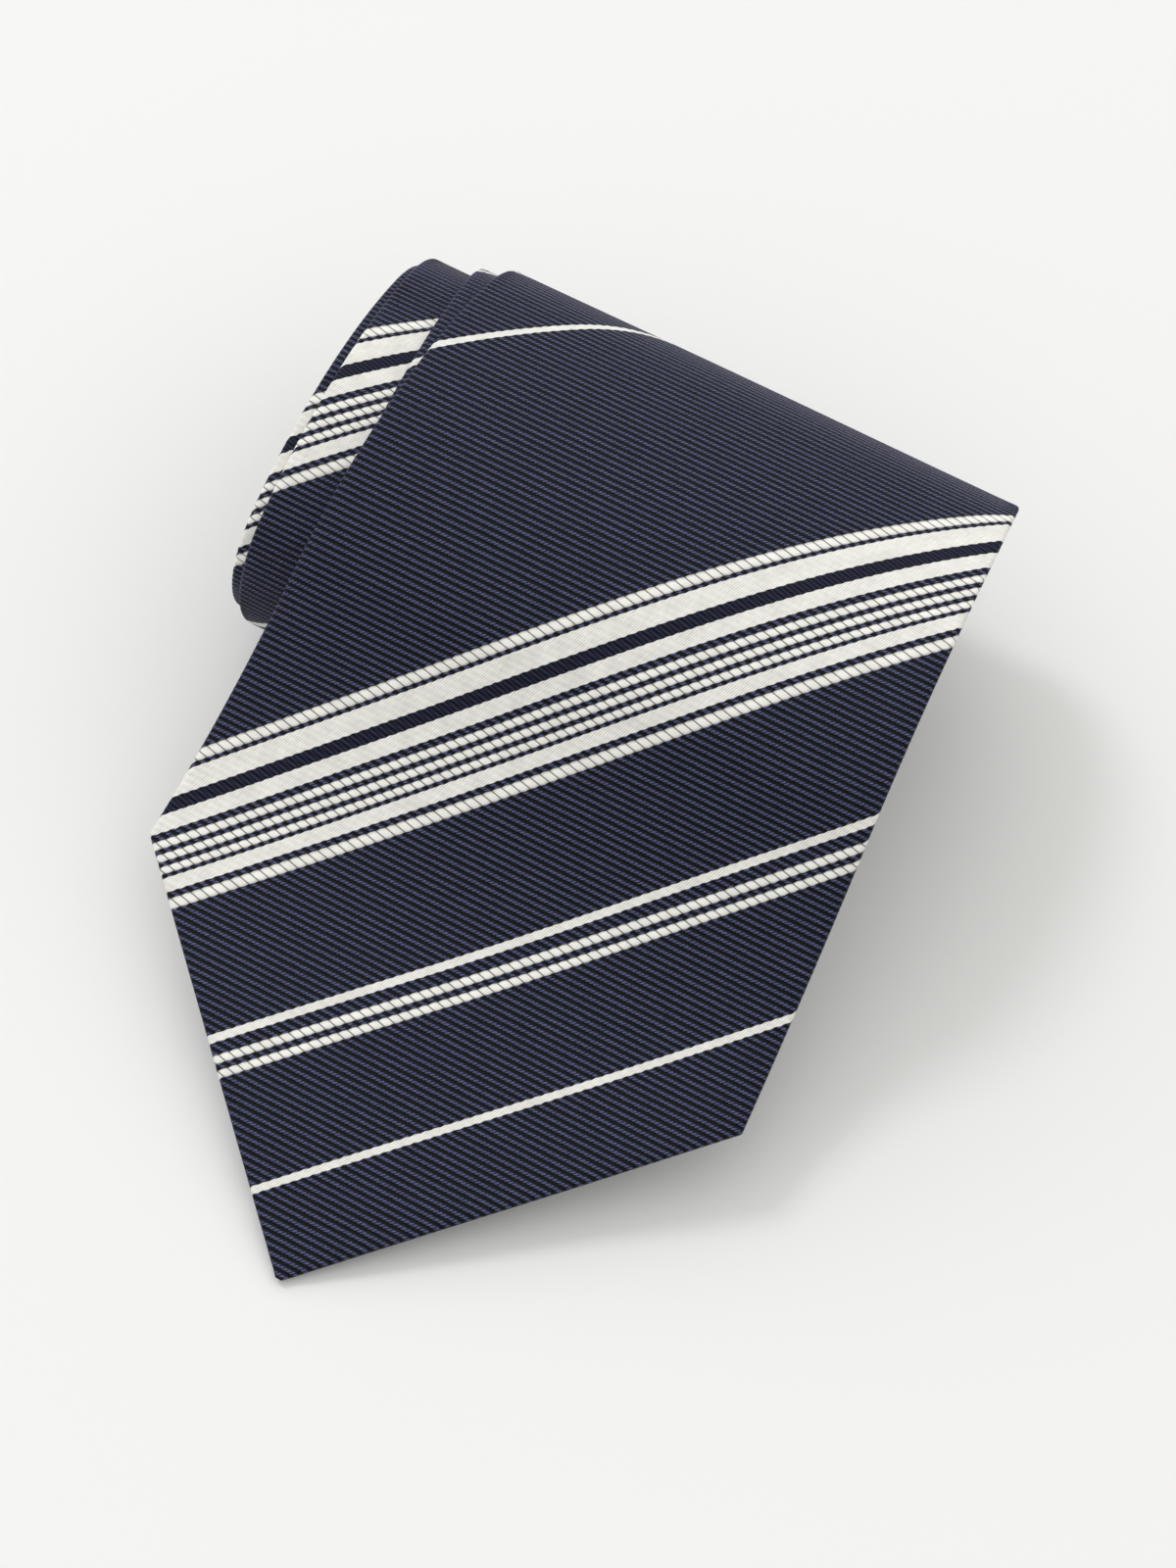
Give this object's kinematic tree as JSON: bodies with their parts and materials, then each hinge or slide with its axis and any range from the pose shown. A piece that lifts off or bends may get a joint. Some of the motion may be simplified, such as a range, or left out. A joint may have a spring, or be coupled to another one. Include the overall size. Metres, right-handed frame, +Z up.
{
  "type": "rolled necktie",
  "caption": "Striped silk necktie rolled up with its tail inside, the wide pointed blade coming over the top of the roll and sloping down to its point.",
  "frame": {"origin": "bottom centre of the rolled tie's box, on the surface it rests on", "axes": "+Y from the blade's point to the back of the roll, +X along the roll's axis to the right when seen from the point, +Z up"},
  "size_m": [0.098, 0.139, 0.0431],
  "materials": {
    "silk": "navy ribbed silk with silver-white woven diagonal stripes",
    "interlining": "brushed cream wool interlining",
    "lining": "plain navy satin lining cloth",
    "thread": "navy sewing thread",
    "label": "blank woven navy satin label",
    "tag": "blank white satin tape"
  },
  "bodies": {
    "roll": {"blade_shell_rolled": "silk", "neck_shell": "silk", "tail_shell": "silk", "blade_interlining_rolled": "interlining", "tail_interlining": "interlining", "tail_tipping": "lining", "tail_bar_tack": "thread", "slip_stitch_rolled": "thread", "front_join_allowances": "silk", "rear_join_allowances": "silk", "keeper_loop": "silk", "keeper_stitches": "thread", "blank_label": "label", "label_stitches": "thread", "care_tag": "tag"},
    "blade": {"blade_shell_front": "silk", "blade_interlining_front": "interlining", "blade_tipping": "lining", "blade_tipping_stitches": "thread", "blade_bar_tack": "thread", "spare_thread_loop": "thread", "slip_stitch_front": "thread"}
  },
  "joints": [
    {"name": "blade_lift", "type": "hinge", "parent": "roll", "child": "blade", "pos_m": [0, 0.0342, 0.04311], "axis": [-1, 0, 0], "range_deg": [0, 100]}
  ]
}
